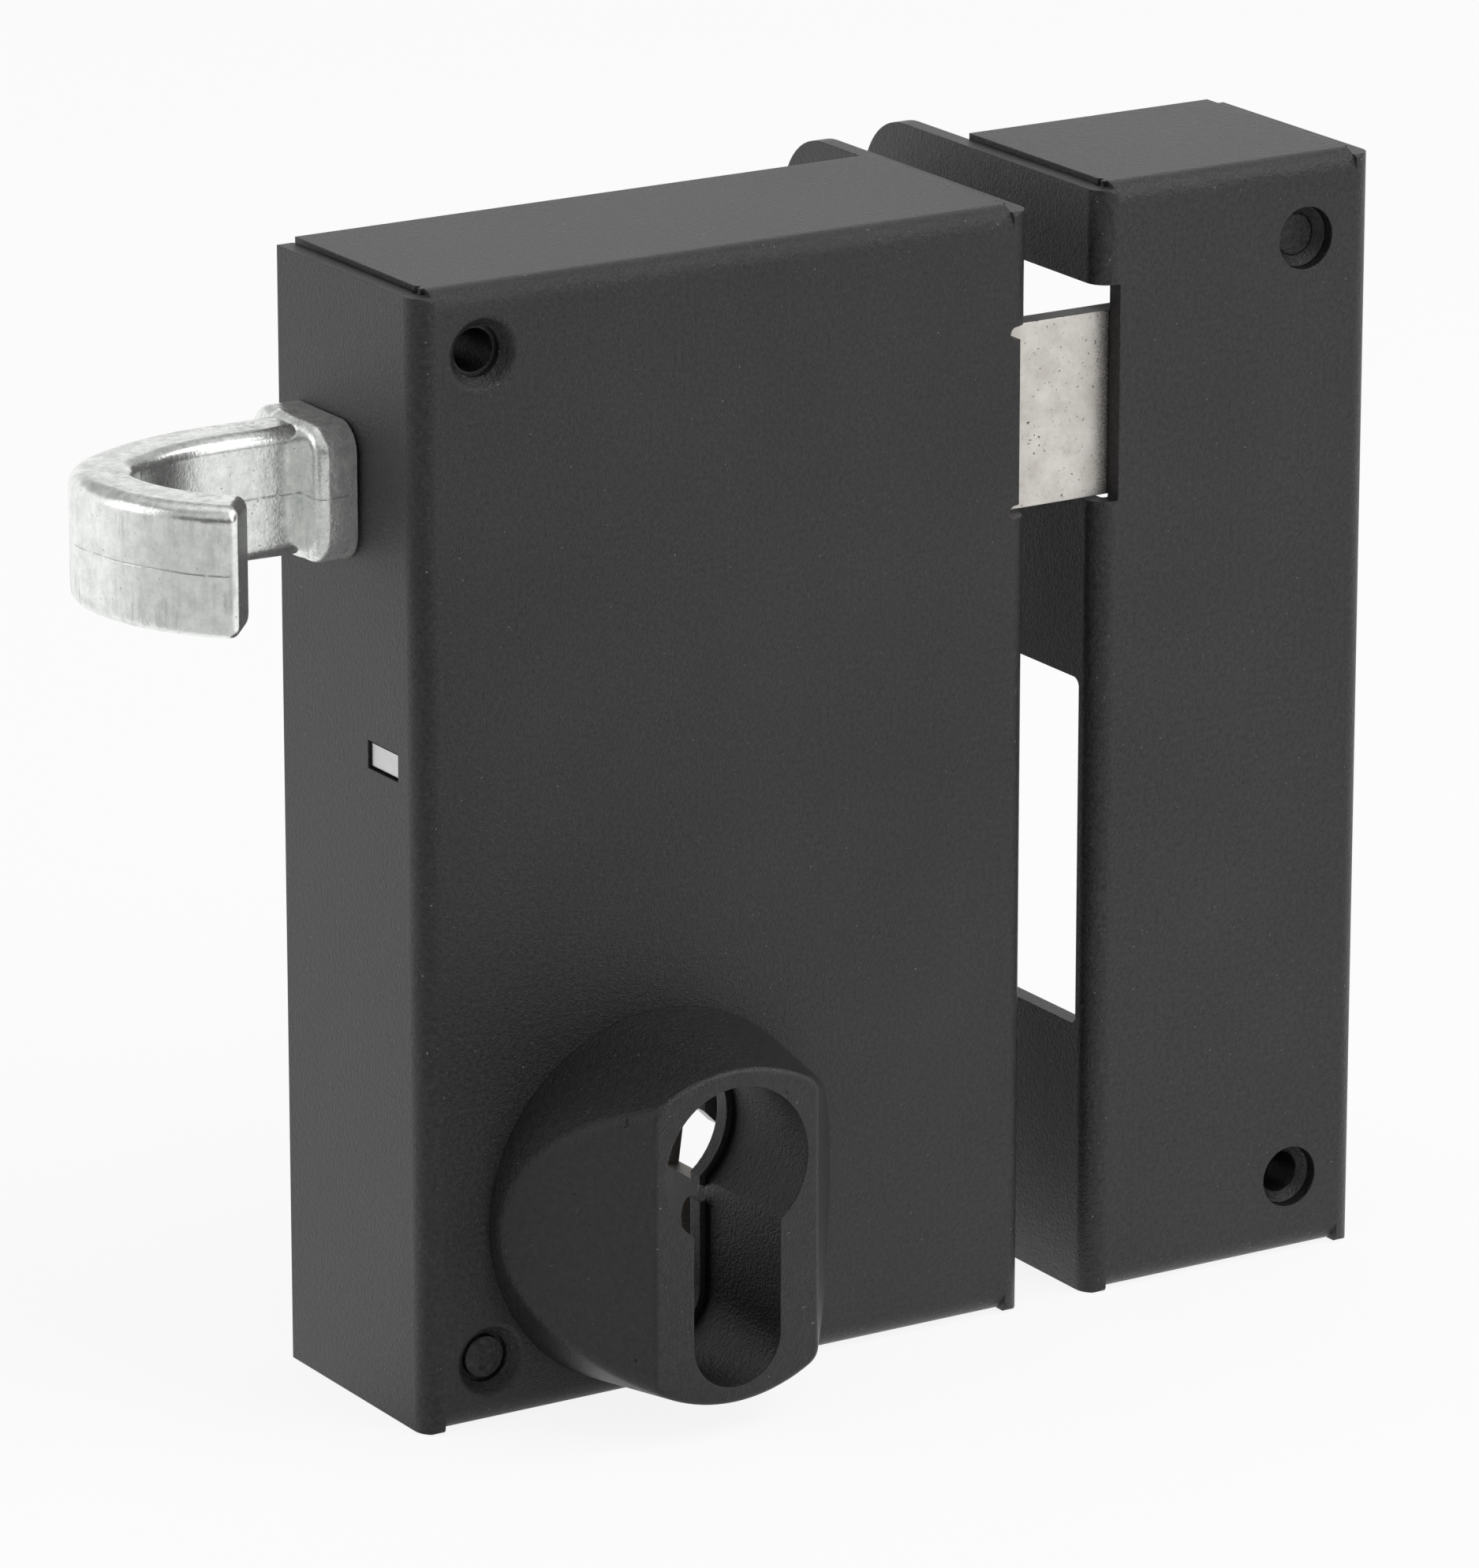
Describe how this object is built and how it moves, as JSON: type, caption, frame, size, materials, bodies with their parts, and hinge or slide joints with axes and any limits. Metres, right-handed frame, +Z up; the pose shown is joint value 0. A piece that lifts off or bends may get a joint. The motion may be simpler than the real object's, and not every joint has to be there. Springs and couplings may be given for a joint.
{
  "type": "rim lock",
  "caption": "Surface-mounted rim lock of folded sheet with a hooked latch pull, a drafted profile-cylinder escutcheon and a matching box keeper.",
  "frame": {"origin": "on the cylinder's axis, in the plane of the case's front face", "axes": "+X along the door from the case to the keeper, +Y into the door, +Z up"},
  "size_m": [0.1551, 0.063, 0.126],
  "materials": {
    "charcoal_cover": "fine-textured powder coat",
    "charcoal_keeper": "fine-textured powder coat",
    "charcoal_escutcheon": "fine-textured powder coat on a casting",
    "die_cast_zinc": "bright die casting, lightly tumbled",
    "latch_steel": "nickel plated sheet steel",
    "bolt_steel": "zinc plated steel bar",
    "zinc_plate": "zinc plated sheet steel",
    "zinc_sleeve": "turned and zinc plated",
    "zinc_screw": "zinc plated",
    "zinc_rivet": "zinc plated",
    "spring_steel": "drawn wire and strip"
  },
  "bodies": {
    "case": {"case_cover": "charcoal_cover", "back_plate": "zinc_plate", "case_sleeves": "zinc_sleeve", "case_plug": "charcoal_cover", "cover_posts": "zinc_sleeve", "back_plate_screws": "zinc_screw", "cylinder_escutcheon": "charcoal_escutcheon", "escutcheon_screws": "zinc_screw", "guide_post": "zinc_sleeve", "lever_pivot": "zinc_sleeve", "shelf_bracket": "zinc_plate", "shelf_rivets": "zinc_rivet", "cylinder_bracket": "zinc_plate", "bracket_rivets": "zinc_rivet", "bolt_stud": "zinc_sleeve", "click_spring": "spring_steel", "click_rivet": "zinc_rivet", "latch_spring": "spring_steel"},
    "latch": {"latch_bolt": "latch_steel", "latch_pin": "zinc_sleeve", "pull_handle": "die_cast_zinc", "handle_screw": "zinc_screw"},
    "lever": {"latch_lever": "zinc_plate"},
    "deadbolt": {"deadbolt_head": "bolt_steel", "deadbolt_tail": "zinc_plate", "deadbolt_rivets": "zinc_rivet"},
    "keeper": {"keeper_cover": "charcoal_keeper", "keeper_sleeves": "zinc_sleeve", "keeper_plug": "charcoal_keeper"}
  },
  "joints": [
    {"name": "latch_slide", "type": "slide", "parent": "case", "child": "latch", "axis": [1, 0, 0], "range_m": [-0.0138, 0], "stiffness_N_per_m": 300, "springref_m": 0.012, "deforming": ["latch_spring"]},
    {"name": "lever_turn", "type": "hinge", "parent": "case", "child": "lever", "pos_m": [-0.0205, 0.00925, -0.006], "axis": [0, 1, 0], "range_deg": [-10.42, 0]},
    {"name": "deadbolt_throw", "type": "slide", "parent": "case", "child": "deadbolt", "axis": [1, 0, 0], "range_m": [0, 0.017], "deforming": ["click_spring"]},
    {"name": "keeper_slide", "type": "slide", "parent": "case", "child": "keeper", "axis": [1, 0, 0], "range_m": [0, 0.04]}
  ],
  "couplings": [
    {"joint": "lever_turn", "follows": "latch_slide", "rad_per_m": 13.157}
  ]
}
